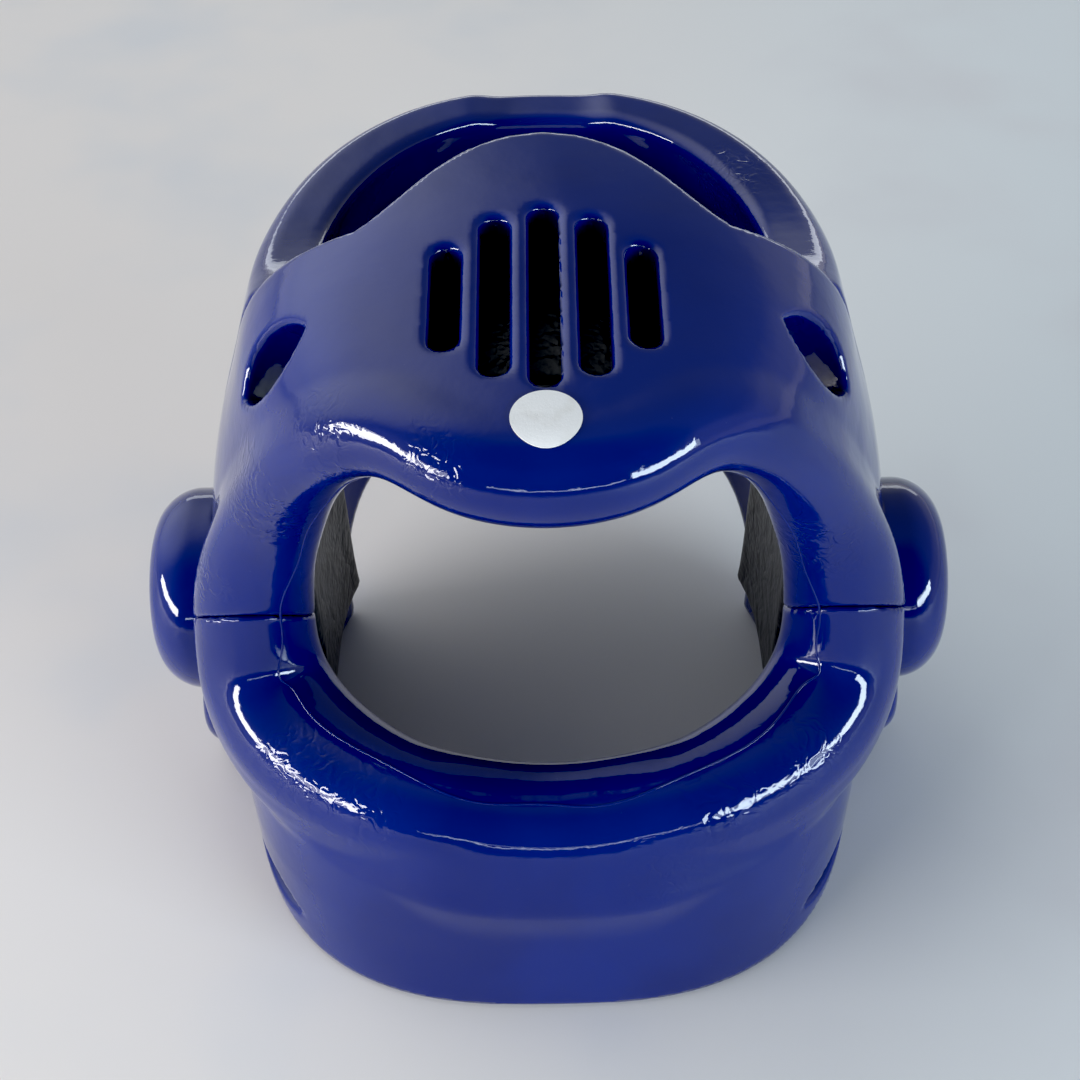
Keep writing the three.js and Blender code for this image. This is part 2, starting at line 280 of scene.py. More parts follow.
def lineSide(y, z, line):
    # signed distance to an open line in the side view, y to the right and z up:
    # positive on the left of its course, negative on the right
    line = np.array(line, float)
    line[0] += (line[0] - line[1]) * seams["stretch"]
    line[-1] += (line[-1] - line[-2]) * seams["stretch"]
    best = np.full(len(y), 1e18)
    side = np.ones(len(y))
    for (ay, az), (by, bz) in zip(line[:-1], line[1:]):
        ey, ez = by - ay, bz - az
        t = np.clip(((y - ay) * ey + (z - az) * ez) / (ey * ey + ez * ez), 0, 1)
        dy, dz = y - ay - ey * t, z - az - ez * t
        away = dy * dy + dz * dz
        closer = away < best - 1e-9
        best = np.where(closer, away, best)
        side = np.where(closer, np.where(ey * dz < ez * dy, -1, 1), side)
    return side * np.sqrt(best)


def smoothLine(points, pieces=5):
    # Catmull-Rom through an open line of points
    line = np.array(points, float)
    padded = np.vstack([2 * line[0] - line[1], line, 2 * line[-1] - line[-2]])
    t = np.linspace(0, 1, pieces, endpoint=False)[:, None]
    runs = zip(padded[:-3], padded[1:-2], padded[2:-1], padded[3:])
    return np.vstack([catmullRom(*run, t) for run in runs] + [line[-1:]])


seams = {
    # side view, y and z
    "side": [(-12, 205), (-5, 175), (0, 140), (5, 88)],
    "cheek": [(-75, 131), (-39, 96), (5, 88)],
    "ear": [(5, 88), (9, 45), (12, 0)],
    "rim": [(-30, 202), (-10, 199), (10, 193.5), (40, 188.5), (80, 187), (140, 186.5)],
    "nape": [(53, -40), (54, 0), (60.2, 24.6), (74, 45), (95, 56), (126, 60), (160, 61)],
    # top view of the crown's rear edge, x and y
    "crown": [
        (0, 20.5), (10, 18.7), (17, 15.5), (23, 11.8), (32, 3.3), (42, -8),
        (50, -15), (60, -18.5), (72, -16), (82, -12), (120, -4),
    ],
    "crownFloor": 199,
    "edge": 1.0,
    "sideEdge": 2.2,
    "rimEdge": 5.5,
    "napeEdge": 7.0,
    "gap": 0.12,
    # the dip in the middle of the rear rim: depth, half width and the y it starts at
    "saddle": (2.5, 20, 60),
    # how many times its end stretch a line runs on beyond its ends
    "stretch": 8,
}
sideLine = smoothLine(seams["side"])
cheekLine = smoothLine(seams["cheek"])
earLine = smoothLine(seams["ear"])
rearLine = np.vstack([sideLine, earLine[1:]])
rimLine = smoothLine(seams["rim"])
napeLine = smoothLine(seams["nape"])
crownLine = smoothLine(seams["crown"], 4)


def crownBehind(p):
    # positive behind the crown's rear edge, negative under the lobe
    line = crownLine
    best = np.full(len(p), 1e18)
    x, y = np.abs(p[:, 0]), p[:, 1]
    for (ax, ay), (bx, by) in zip(line[:-1], line[1:]):
        ex, ey = bx - ax, by - ay
        t = np.clip(((x - ax) * ex + (y - ay) * ey) / (ex * ex + ey * ey), 0, 1)
        best = np.minimum(best, (x - ax - ex * t) ** 2 + (y - ay - ey * t) ** 2)
    behind = y > np.interp(x, line[:, 0], line[:, 1])
    return np.where(behind, 1, -1) * np.sqrt(best)


vents = {
    "slotWidth": 8.0, "slotPitch": 13.0, "slotCentre": -51.0, "slotLengths": (66, 58, 38),
    "slotFloor": 190, "slotEdge": 2.2,
    "leafLength": 34.0, "leafWidth": 18.0, "leafCentre": (76, -46, 200), "leafAlong": (19, 5, -28),
    "leafEdge": 2.2,
    "jawLength": 36.0, "jawWidth": 8.0, "jawCentre": (89, -78, 12), "jawAlong": (18, 31, 0), "jawEdge": 2.0,
    # highest start of a leaf's drilling on the head's axis, and its reach to both sides of the skin
    "pole": 125, "drill": 45,
}


def crownSlots(p):
    # five slots with round ends, the middle one longest
    best = np.full(len(p), 1e9)
    radius = vents["slotWidth"] / 2
    for row in range(-2, 3):
        half = vents["slotLengths"][abs(row)] / 2 - radius
        along = np.maximum(np.abs(p[:, 1] - vents["slotCentre"]) - half, 0)
        best = np.minimum(best, np.hypot(p[:, 0] - row * vents["slotPitch"], along) - radius)
    return np.maximum(best, vents["slotFloor"] - p[:, 2])


def leafVent(p, name):
    # a pointed oval hole drilled from the middle of the head outwards, one on each side
    centre, along = (np.array(vents[name + part], float) for part in ("Centre", "Along"))
    length, width = vents[name + "Length"], vents[name + "Width"]
    out = centre - np.array([0, 0, min(centre[2], vents["pole"])])
    out /= np.linalg.norm(out)
    across = np.cross(out, along)
    across /= np.linalg.norm(across)
    level = np.cross(across, out)
    q = np.stack([np.abs(p[:, 0]), p[:, 1], p[:, 2]], 1) - centre
    a, b, c = q @ level, q @ across, q @ out
    # two circles through the leaf's tips
    rise = width / 2
    radius = (length ** 2 / 4 + rise ** 2) / (2 * rise)
    leaf = np.hypot(a, np.abs(b) + radius - rise) - radius
    return np.maximum(leaf, np.abs(c) - vents["drill"])


def lipBlend(p):
    # a soft fillet at the brow and mid chin, a tight crease at the jaw
    x, z = np.abs(p[:, 0]), p[:, 2]
    chin = lip["jawBlend"] + (lip["chinBlend"] - lip["jawBlend"]) * np.exp(-(x / lip["chinHalf"]) ** 4)
    up = np.clip((z - lip["browFrom"]) / lip["browRise"], 0, 1)
    return chin * (1 - up) + lip["browBlend"] * up


def openWall(p):
    # the wall with the face opening in it
    return roundCut(shellWall(p), -faceHole(p), lip["holeEdge"])


def lipBody(p):
    # wall, opening and lip before the seams part them
    return roundJoin(openWall(p), lipDistance(p), lipBlend(p))


def frontField(p):
    y, z = p[:, 1], p[:, 2]
    crown = np.maximum(crownBehind(p), seams["crownFloor"] - z)
    body = roundCut(openWall(p), np.minimum(lineSide(y, z, sideLine), crown), seams["sideEdge"])
    body = roundCut(body, -crownSlots(p), vents["slotEdge"])
    body = roundCut(body, -leafVent(p, "leaf"), vents["leafEdge"])
    body = roundJoin(body, lipDistance(p), lipBlend(p))
    return roundCut(body, seams["gap"] - lineSide(y, z, cheekLine), seams["edge"])


def chinField(p):
    y, z = p[:, 1], p[:, 2]
    body = roundCut(lipBody(p), -leafVent(p, "jaw"), vents["jawEdge"])
    body = roundCut(body, -z, shell["footEdge"])
    for line in (cheekLine, earLine):
        body = roundCut(body, lineSide(y, z, line) + seams["gap"], seams["edge"])
    return body


def rearField(p):
    y, z = p[:, 1], p[:, 2]
    depth, half, start = seams["saddle"]
    saddle = depth * np.exp(-(np.abs(p[:, 0]) / half) ** 6) * (y > start)
    top = np.interp(y, rimLine[:, 0], rimLine[:, 1]) - saddle
    body = roundCut(shellWall(p), z - top, seams["rimEdge"])
    body = roundCut(body, -lineSide(y, z, napeLine), seams["napeEdge"])
    return roundCut(body, seams["gap"] - lineSide(y, z, rearLine), seams["sideEdge"])


net = {
    # fine cells to a coarse one, and how many coarse cells round the surface are sampled in full
    "coarse": 4, "band": 1.6,
    # rounds, share of the way that a point moves to its neighbours' middle,
    # reach of a probe for the slope, least slope that is trusted
    "rounds": 3, "evening": 0.6, "probe": 0.2, "leastSlope": 0.2,
}


def meshField(field, low, high, pitch):
    # sample a field on a sparse grid and wrap its zero surface in quads
    low, high = np.array(low, float), np.array(high, float)
    coarse = net["coarse"]
    cells = np.ceil((high - low) / pitch / coarse).astype(int)
    axes = [low[a] + np.arange(cells[a] + 1) * pitch * coarse for a in range(3)]
    grid = np.stack(np.meshgrid(*axes, indexing="ij"), -1).reshape(-1, 3)
    rough = field(grid).reshape(cells + 1)
    shape = cells * coarse + 1
    index = [np.minimum((np.arange(shape[a]) + coarse // 2) // coarse, cells[a]) for a in range(3)]
    values = rough[np.ix_(*index)].copy()
    near = np.abs(values) < pitch * coarse * net["band"]
    where = np.argwhere(near)
    values[near] = field(low + where * pitch)
    inside = values < 0
    sums = np.zeros((int(np.prod(shape)), 3))
    counts = np.zeros(int(np.prod(shape)))
    strides = np.array([shape[1] * shape[2], shape[2], 1])
    quads = []
    for axis in range(3):
        u, v = (axis + 1) % 3, (axis + 2) % 3
        one = [slice(None)] * 3
        two = [slice(None)] * 3
        one[axis], two[axis] = slice(0, -1), slice(1, None)
        crossing = np.argwhere(inside[tuple(one)] != inside[tuple(two)])
        a = values[tuple(crossing.T)]
        ahead = crossing.copy()
        ahead[:, axis] += 1
        b = values[tuple(ahead.T)]
        place = crossing.astype(float)
        place[:, axis] += a / (a - b)
        corners = []
        for du, dv in ((0, 0), (1, 0), (1, 1), (0, 1)):
            cell = crossing.copy()
            cell[:, u] -= du
            cell[:, v] -= dv
            flat = cell @ strides
            corners.append(flat)
            for k in range(3):
                sums[:, k] += np.bincount(flat, place[:, k], len(counts))
            counts += np.bincount(flat, minlength=len(counts))
        ring = np.stack(corners, 1)
        quads.append(np.where((a > 0)[:, None], ring, ring[:, ::-1]))
    used = np.nonzero(counts)[0]
    number = np.full(len(counts), -1)
    number[used] = np.arange(len(used))
    points = low + sums[used] / counts[used][:, None] * pitch
    faces = number[np.concatenate(quads)]
    return points, faces


def relax(field, points, faces):
    # even the net out, then press each point onto the zero surface
    edges = np.concatenate([faces[:, [0, 1]], faces[:, [1, 2]], faces[:, [2, 3]], faces[:, [3, 0]]])
    count = np.bincount(edges[:, 0], minlength=len(points))
    tips = np.array([(1, 1, 1), (1, -1, -1), (-1, 1, -1), (-1, -1, 1)], float)
    for turn in range(net["rounds"]):
        if turn < net["rounds"] - 1:
            near = points[edges[:, 1]]
            mean = np.stack([np.bincount(edges[:, 0], near[:, k], len(points)) for k in range(3)], 1)
            points = (1 - net["evening"]) * points + net["evening"] * mean / count[:, None]
        slope = np.zeros_like(points)
        level = np.zeros(len(points))
        for tip in tips:
            value = field(points + tip * net["probe"])
            slope += tip * value[:, None]
            level += value / 4
        slope /= 4 * net["probe"]
        size = (slope ** 2).sum(1)
        step = np.clip(level / np.maximum(size, net["leastSlope"]), -1, 1)
        points = points - slope * step[:, None]
    return points


def addObject(name, data):
    thing = bpy.data.objects.new(name, data)
    bpy.context.scene.collection.objects.link(thing)
    return thing


def makeObject(name, points, faces):
    mesh = bpy.data.meshes.new(name)
    mesh.from_pydata((np.asarray(points) / 1000).tolist(), [], np.asarray(faces).tolist())
    mesh.validate()
    mesh.update()
    mesh.polygons.foreach_set("use_smooth", np.ones(len(mesh.polygons), bool))
    return addObject(name, mesh)


def fieldPiece(name, field, low, high, pitch):
    points, faces = meshField(field, low, high, pitch)
    points = relax(field, points, faces)
    piece = makeObject(name, points, faces)
    print(name, len(points), "points", len(faces) * 2, "triangles")
    return piece


detail = 1.5

frontPiece = fieldPiece("frontShell", frontField, (-122, -134, 70), (122, 36, 240), detail)
chinPiece = fieldPiece("chinGuard", chinField, (-122, -134, -8), (122, 26, 150), detail)
rearPiece = fieldPiece("rearShell", rearField, (-122, -30, -8), (122, 136, 210), detail)

earPad = {
    "radius": 34.0, "reach": 132.0, "centre": (-5.0, 71.5), "fillet": 13.0, "dome": 2.5,
    "clear": 0.3, "rootEdge": 1.0,
}
earLobe = {
    "radius": 17.0, "reach": 123.5, "centre": (-8.0, 20.0), "fillet": 6.0, "dome": 2.0,
    "clear": 0.3, "rootEdge": 1.0,
}
# where a pad's box starts sideways, its room beyond the pad and round it, share of the usual pitch
padBox = {"inner": 80, "beyond": 6, "round": 4, "fine": 0.8}


def padField(size, side):
    def field(p):
        x = p[:, 0] * side
        across = np.hypot(p[:, 1] - size["centre"][0], p[:, 2] - size["centre"][1])
        face = x - size["reach"] + size["dome"] * (across / size["radius"]) ** 2
        pad = roundCut(across - size["radius"], face, size["fillet"])
        return roundCut(pad, size["clear"] - skinDistance(p, outerTables), size["rootEdge"])
    return field


padPieces = []
for word, side in (("Left", 1), ("Right", -1)):
    for start, size in (("earPad", earPad), ("earLobe", earLobe)):
        y, z = size["centre"]
        reach = size["radius"] + padBox["round"]
        xs = sorted((side * padBox["inner"], side * (size["reach"] + padBox["beyond"])))
        low, high = (xs[0], y - reach, z - reach), (xs[1], y + reach, z + reach)
        padPieces.append(fieldPiece(start + word, padField(size, side), low, high, detail * padBox["fine"]))

lining = {
    "clear": 0.4, "thick": 8.0, "edge": 3.0,
    # how far the crown's pad ends before the lobe's rear edge, and the clearance off the lip
    "lobeInset": 8, "lipClear": 0.4, "lipEdge": 1.0,
    # a pad is sought this far round its box, inside the head's box
    "margin": 4, "headLow": (-110, -130, 0), "headHigh": (110, 130, 236),
    # name, low corner, high corner, whether the lobe's edge ends it
    "pads": [
        ("liningCrown", (-50, -62, 186), (50, 40, 240), True),
        ("liningRear", (-55, 30, 80), (55, 140, 165), False),
        ("liningLeft", (40, -18, 22), (130, 45, 120), False),
        ("liningRight", (-130, -18, 22), (-40, 45, 120), False),
    ],
}
liningOuter = skinTables(shell["wall"] + lining["clear"])
liningInner = skinTables(shell["wall"] + lining["clear"] + lining["thick"])


def liningField(low, high, underLobe):
    def field(p):
        slab = roundCut(skinDistance(p, liningOuter), -skinDistance(p, liningInner), lining["edge"])
        for axis in range(3):
            slab = roundCut(slab, p[:, axis] - high[axis], lining["edge"])
            slab = roundCut(slab, low[axis] - p[:, axis], lining["edge"])
        if underLobe:
            slab = roundCut(slab, crownBehind(p) + lining["lobeInset"], lining["edge"])
        return roundCut(slab, lining["lipClear"] - lipDistance(p), lining["lipEdge"])
    return field


liningPieces = []
for name, low, high, underLobe in lining["pads"]:
    lowBox = np.maximum(np.array(low) - lining["margin"], lining["headLow"])
    highBox = np.minimum(np.array(high) + lining["margin"], lining["headHigh"])
    liningPieces.append(fieldPiece(name, liningField(low, high, underLobe), lowBox, highBox, detail))

# the round label, laid on the forehead
label = {
    "radius": 9.0, "centre": (0.0, -95.0), "lift": 0.15, "thick": 0.25, "rings": 10, "around": 72,
    # its length along y, seen from above, as a share of its width
    "slope": 0.93,
    # heights between which the skin is sought, and how often the gap is halved
    "heights": (190.0, 236.0), "halvings": 40,
}


def surfaceHeight(x, y):
    # highest point of the front shell over x, y
    low, high = (np.full(len(x), height) for height in label["heights"])
    for _ in range(label["halvings"]):
        middle = (low + high) / 2
        value = frontField(np.stack([x, y, middle], 1))
        low, high = np.where(value < 0, middle, low), np.where(value < 0, high, middle)
    return (low + high) / 2


def makeLabel():
    rings, around = label["rings"], label["around"]
    angle = np.linspace(0, 2 * math.pi, around, endpoint=False)
    radii = np.linspace(label["radius"] / rings, label["radius"], rings)
    x = np.concatenate([[0], (radii[:, None] * np.cos(angle)).ravel()]) + label["centre"][0]
    y = np.concatenate([[0], (radii[:, None] * np.sin(angle) * label["slope"]).ravel()]) + label["centre"][1]
    z = surfaceHeight(x, y) + label["lift"]
    under = np.stack([x, y, z], 1)
    over = under + (0, 0, label["thick"])
    count = len(under)
    steps = [(i, (i + 1) % around) for i in range(around)]
    # the two middles, the rings, then the rim
    faces = []
    for i, j in steps:
        faces.append((count, count + 1 + i, count + 1 + j))
        faces.append((0, 1 + j, 1 + i))
    for ring in range(rings - 1):
        a, b = 1 + ring * around, 1 + (ring + 1) * around
        for i, j in steps:
            faces.append((count + a + i, count + b + i, count + b + j, count + a + j))
            faces.append((a + i, a + j, b + j, b + i))
    last = 1 + (rings - 1) * around
    for i, j in steps:
        faces.append((last + i, last + j, count + last + j, count + last + i))
    mesh = bpy.data.meshes.new("sizeLabel")
    mesh.from_pydata((np.concatenate([under, over]) / 1000).tolist(), [], faces)
    mesh.update()
    return addObject("sizeLabel", mesh)


labelPiece = makeLabel()
print("pieces made")

# the thin mould line that runs round the inside of the lip
mouldLine = {
    "angle": 38.0, "radius": 0.45, "sides": 8, "spacing": 1.5, "sink": 0.2,
    # the middle of the opening, and small waves of the angle: size and pace
    "middle": (0, -75, 130.0), "wander": ((0.05, 0.37), (0.04, 0.11)),
    # where the walk to the surface starts off the lip's tube, and its rounds
    "startOff": 1, "rounds": 12,
}


def surfacePoint(field, points):
    # walk points onto the zero surface of a field
    probe = net["probe"]
    for _ in range(mouldLine["rounds"]):
        level = field(points)
        slope = np.zeros_like(points)
        for axis in range(3):
            step = np.zeros(3)
            step[axis] = probe
            slope[:, axis] = (field(points + step) - field(points - step)) / (2 * probe)
        points = points - slope * (level / np.maximum((slope ** 2).sum(1), net["leastSlope"]))[:, None]
    return points


def mouldPath():
    # the lip's centre line moved out to its surface, turned a little out of the opening
    centre = lipCurve[:, :3]
    along = np.roll(centre, -1, 0) - np.roll(centre, 1, 0)
    along /= np.linalg.norm(along, axis=1)[:, None]
    inwards = np.array(mouldLine["middle"]) - centre
    inwards -= (inwards * along).sum(1)[:, None] * along
    inwards /= np.linalg.norm(inwards, axis=1)[:, None]
    outwards = np.cross(along, inwards)
    outwards *= np.where(outwards[:, 1:2] > 0, -1, 1)
    number = np.arange(len(centre))
    wander = sum(size * np.sin(number * pace) for size, pace in mouldLine["wander"])
    turn = math.radians(mouldLine["angle"]) + wander
    aim = inwards * np.cos(turn)[:, None] + outwards * np.sin(turn)[:, None]
    start = centre + aim * (lipCurve[:, 3:] + mouldLine["startOff"])
    return surfacePoint(lipBody, start) - aim * mouldLine["sink"]


def beadTree(material):
    # a thin round bead along a line of edges
    tree = bpy.data.node_groups.new("beadOnPath", "GeometryNodeTree")
    face = tree.interface
    face.new_socket("Geometry", in_out="INPUT", socket_type="NodeSocketGeometry")
    sockets = {}
    for name, kind, value in (
        ("Bead radius", "NodeSocketFloat", mouldLine["radius"] / 1000),
        ("Bead spacing", "NodeSocketFloat", mouldLine["spacing"] / 1000),
        ("Bead sides", "NodeSocketInt", mouldLine["sides"]),
    ):
        socket = face.new_socket(name, in_out="INPUT", socket_type=kind)
        socket.default_value = value
        sockets[name] = socket.identifier
    face.new_socket("Geometry", in_out="OUTPUT", socket_type="NodeSocketGeometry")
    nodes, links = tree.nodes, tree.links
    groupIn, groupOut = nodes.new("NodeGroupInput"), nodes.new("NodeGroupOutput")
    toCurve = nodes.new("GeometryNodeMeshToCurve")
    resample = nodes.new("GeometryNodeResampleCurve")
    resample.mode = "LENGTH"
    circle = nodes.new("GeometryNodeCurvePrimitiveCircle")
    sweep = nodes.new("GeometryNodeCurveToMesh")
    smooth = nodes.new("GeometryNodeSetShadeSmooth")
    realize = nodes.new("GeometryNodeRealizeInstances")
    finish = nodes.new("GeometryNodeSetMaterial")
    finish.inputs["Material"].default_value = material
    links.new(groupIn.outputs["Geometry"], toCurve.inputs["Mesh"])
    links.new(toCurve.outputs["Curve"], resample.inputs["Curve"])
    links.new(groupIn.outputs["Bead spacing"], resample.inputs["Length"])
    links.new(groupIn.outputs["Bead sides"], circle.inputs["Resolution"])
    links.new(groupIn.outputs["Bead radius"], circle.inputs["Radius"])
    links.new(resample.outputs["Curve"], sweep.inputs["Curve"])
    links.new(circle.outputs["Curve"], sweep.inputs["Profile Curve"])
    links.new(sweep.outputs["Mesh"], smooth.inputs["Geometry"])
    links.new(smooth.outputs["Geometry"], realize.inputs["Geometry"])
    links.new(realize.outputs["Geometry"], finish.inputs["Geometry"])
    links.new(finish.outputs["Geometry"], groupOut.inputs["Geometry"])
    return tree, sockets


def makeMouldLine(material):
    path = mouldPath() / 1000
    mesh = bpy.data.meshes.new("mouldPath")
    mesh.from_pydata(path.tolist(), [(i, (i + 1) % len(path)) for i in range(len(path))], [])
    guide = addObject("mouldPath", mesh)
    tree, sockets = beadTree(material)
    modifier = guide.modifiers.new("bead", "NODES")
    modifier.node_group = tree
    modifier[sockets["Bead radius"]] = mouldLine["radius"] / 1000
    graph = bpy.context.evaluated_depsgraph_get()
    beadMesh = bpy.data.meshes.new_from_object(guide.evaluated_get(graph))
    bpy.data.objects.remove(guide)
    beadMesh.name = "mouldLine"
    return addObject("mouldLine", beadMesh)


def newMaterial(name):
    material = bpy.data.materials.new(name)
    material.use_nodes = True
    tree = material.node_tree
    tree.nodes.clear()
    output = tree.nodes.new("ShaderNodeOutputMaterial")
    shader = tree.nodes.new("ShaderNodeBsdfPrincipled")
    tree.links.new(shader.outputs["BSDF"], output.inputs["Surface"])
    return material, tree, shader


def newGroup(name, inputs, outputs):
    # inputs: a number for a value, None for a vector
    group = bpy.data.node_groups.new(name, "ShaderNodeTree")
    for label, value in inputs.items():
        kind = "NodeSocketVector" if value is None else "NodeSocketFloat"
        socket = group.interface.new_socket(label, in_out="INPUT", socket_type=kind)
        if value is not None:
            socket.default_value = value
    for label in outputs:
        group.interface.new_socket(label, in_out="OUTPUT", socket_type="NodeSocketFloat")
    return group, group.nodes.new("NodeGroupInput"), group.nodes.new("NodeGroupOutput")


def maths(tree, operation, first, second=0.5, third=None):
    node = tree.nodes.new("ShaderNodeMath")
    node.operation = operation
    for slot, value in zip(node.inputs, (first, second, third)):
        if value is None:
            continue
        if isinstance(value, (int, float)):
            slot.default_value = value
        else:
            tree.links.new(value, slot)
    return node.outputs[0]


def noise(tree, vector, scale, detail=2.0, rough=0.5, distortion=0.0):
    node = tree.nodes.new("ShaderNodeTexNoise")
    node.inputs["Detail"].default_value = detail
    node.inputs["Roughness"].default_value = rough
    node.inputs["Distortion"].default_value = distortion
    tree.links.new(vector, node.inputs["Vector"])
    if isinstance(scale, (int, float)):
        node.inputs["Scale"].default_value = scale
    else:
        tree.links.new(scale, node.inputs["Scale"])
    return node.outputs["Fac"]


def mapRange(tree, value, low, high, outLow=0.0, outHigh=1.0):
    node = tree.nodes.new("ShaderNodeMapRange")
    node.interpolation_type = "SMOOTHSTEP"
    for label, number in (("From Min", low), ("From Max", high), ("To Min", outLow), ("To Max", outHigh)):
        node.inputs[label].default_value = number
    tree.links.new(value, node.inputs["Value"])
    return node.outputs["Result"]


def mixColour(tree, mask, first, second):
    node = tree.nodes.new("ShaderNodeMix")
    node.data_type = "RGBA"
    tree.links.new(mask, node.inputs["Factor"])
    for slot, value in ((node.inputs["A"], first), (node.inputs["B"], second)):
        if isinstance(value, tuple):
            slot.default_value = value
        else:
            tree.links.new(value, slot)
    return node.outputs["Result"]


def place(tree, group, **values):
    node = tree.nodes.new("ShaderNodeGroup")
    node.node_tree = group
    for label, value in values.items():
        slot = node.inputs[label.replace("_", " ")]
        if isinstance(value, (int, float, tuple)):
            slot.default_value = value
        else:
            tree.links.new(value, slot)
    return node


def addBump(tree, shader, height, strength, distance):
    bump = tree.nodes.new("ShaderNodeBump")
    bump.inputs["Strength"].default_value = strength
    bump.inputs["Distance"].default_value = distance
    tree.links.new(height, bump.inputs["Height"])
    tree.links.new(bump.outputs["Normal"], shader.inputs["Normal"])


def skinWaveGroup():
    # the slow waves and the fine orange peel of a dipped skin
    group, groupIn, groupOut = newGroup("skinWave", {
        "Vector": None, "Wave size": 30.0, "Peel size": 420.0, "Peel amount": 0.05,
        "Ripple size": 90.0, "Ripple amount": 0.12,
    }, ["Height"])
    given = groupIn.outputs
    wave = noise(group, given["Vector"], given["Wave size"], 1.0, 0.45)
    ripple = noise(group, given["Vector"], given["Ripple size"], 1.0, 0.4)
    wave = maths(group, "MULTIPLY_ADD", ripple, given["Ripple amount"], wave)
    peel = noise(group, given["Vector"], given["Peel size"], 1.5, 0.5)
    fine = maths(group, "MULTIPLY", peel, given["Peel amount"])
    group.links.new(maths(group, "ADD", wave, fine), groupOut.inputs["Height"])
    return group


def creaseGroup():
    # small folded creases that gather inside a round zone with a ragged edge
    group, groupIn, groupOut = newGroup(
        "creaseZone", {"Vector": None, "Centre": None, "Reach": 0.02, "Size": 260.0}, ["Height"])
    given = groupIn.outputs
    nodes, links = group.nodes, group.links
    away = nodes.new("ShaderNodeVectorMath")
    away.operation = "DISTANCE"
    links.new(given["Vector"], away.inputs[0])
    links.new(given["Centre"], away.inputs[1])
    share = maths(group, "DIVIDE", away.outputs["Value"], given["Reach"])
    ragged = maths(group, "MULTIPLY_ADD", noise(group, given["Vector"], 90.0, 2.0), 0.9, -0.45)
    mask = mapRange(group, maths(group, "ADD", share, ragged), 1.0, 0.35)
    folds = noise(group, given["Vector"], given["Size"], 1.0, 0.4, 1.0)
    ridge = maths(group, "ABSOLUTE", maths(group, "SUBTRACT", folds, 0.5))
    links.new(maths(group, "MULTIPLY", ridge, mask), groupOut.inputs["Height"])
    return group


def smudgeGroup():
    # fingerprints and faint rubbing that change only the gloss, and a mask of dust specks
    group, groupIn, groupOut = newGroup(
        "smudge", {"Vector": None, "Base": 0.05, "Amount": 0.08}, ["Roughness", "Dust"])
    given = groupIn.outputs
    broad = mapRange(group, noise(group, given["Vector"], 22.0, 3.0), 0.5, 0.8)
    fine = mapRange(group, noise(group, given["Vector"], 160.0, 4.0, 0.6), 0.45, 0.8)
    patch = maths(group, "MULTIPLY", broad, fine)
    rough = maths(group, "MULTIPLY_ADD", patch, given["Amount"], given["Base"])
    specks = mapRange(group, noise(group, given["Vector"], 900.0, 2.0, 0.7), 0.74, 0.8)
    group.links.new(rough, groupOut.inputs["Roughness"])
    group.links.new(specks, groupOut.inputs["Dust"])
    return group


skinWave, creaseZone, smudge = skinWaveGroup(), creaseGroup(), smudgeGroup()

vinylLook = {
    "colour": (0.0052, 0.0170, 0.160, 1), "deep": (0.0040, 0.0125, 0.125, 1),
    "dust": (0.10, 0.13, 0.26, 1), "dustAmount": 0.25,
    "roughness": 0.05, "smudge": 0.09, "coat": 0.25, "coatRoughness": 0.015, "ior": 1.4, "coatIor": 1.4,
    # sizes are noise scales, the relief is in m
    "waveSize": 26.0, "rippleAmount": 0.16, "peelSize": 430.0, "peelAmount": 0.035, "cloudSize": 14.0,
    "creaseAmount": 0.55, "relief": 0.0011,
    # creased places: centre in m, reach in m, size of the folds
    "creases": [
        ((-0.082, -0.066, 0.168), 0.024, 230), ((-0.058, -0.084, 0.201), 0.020, 230),
        ((-0.028, -0.103, 0.210), 0.015, 260), ((0.076, -0.063, 0.143), 0.022, 260),
        ((-0.077, -0.092, 0.080), 0.020, 190), ((-0.058, -0.103, 0.074), 0.020, 170),
        ((0.034, -0.117, 0.058), 0.018, 200), ((0.052, -0.107, 0.073), 0.020, 170),
        ((0.078, -0.090, 0.080), 0.018, 190), ((0.060, 0.066, 0.180), 0.022, 240),
        ((-0.098, -0.056, 0.128), 0.014, 240),
    ],
}


def glossVinyl():
    material, tree, shader = newMaterial("glossVinyl")
    nodes, links = tree.nodes, tree.links
    vector = nodes.new("ShaderNodeTexCoord").outputs["Object"]
    wave = place(
        tree, skinWave, Vector=vector, Wave_size=vinylLook["waveSize"], Peel_size=vinylLook["peelSize"],
        Peel_amount=vinylLook["peelAmount"], Ripple_amount=vinylLook["rippleAmount"])
    height = wave.outputs["Height"]
    for centre, reach, size in vinylLook["creases"]:
        zone = place(tree, creaseZone, Vector=vector, Centre=centre, Reach=reach, Size=float(size))
        height = maths(tree, "MULTIPLY_ADD", zone.outputs["Height"], vinylLook["creaseAmount"], height)
    addBump(tree, shader, height, 1.0, vinylLook["relief"])
    film = place(tree, smudge, Vector=vector, Base=vinylLook["roughness"], Amount=vinylLook["smudge"])
    cloud = mapRange(tree, noise(tree, vector, vinylLook["cloudSize"], 3.0), 0.35, 0.65)
    colour = mixColour(tree, cloud, vinylLook["deep"], vinylLook["colour"])
    dusty = maths(tree, "MULTIPLY", film.outputs["Dust"], vinylLook["dustAmount"])
    colour = mixColour(tree, dusty, colour, vinylLook["dust"])
    links.new(colour, shader.inputs["Base Color"])
    links.new(film.outputs["Roughness"], shader.inputs["Roughness"])
    shader.inputs["IOR"].default_value = vinylLook["ior"]
    shader.inputs["Coat Weight"].default_value = vinylLook["coat"]
    shader.inputs["Coat Roughness"].default_value = vinylLook["coatRoughness"]
    shader.inputs["Coat IOR"].default_value = vinylLook["coatIor"]
    return material


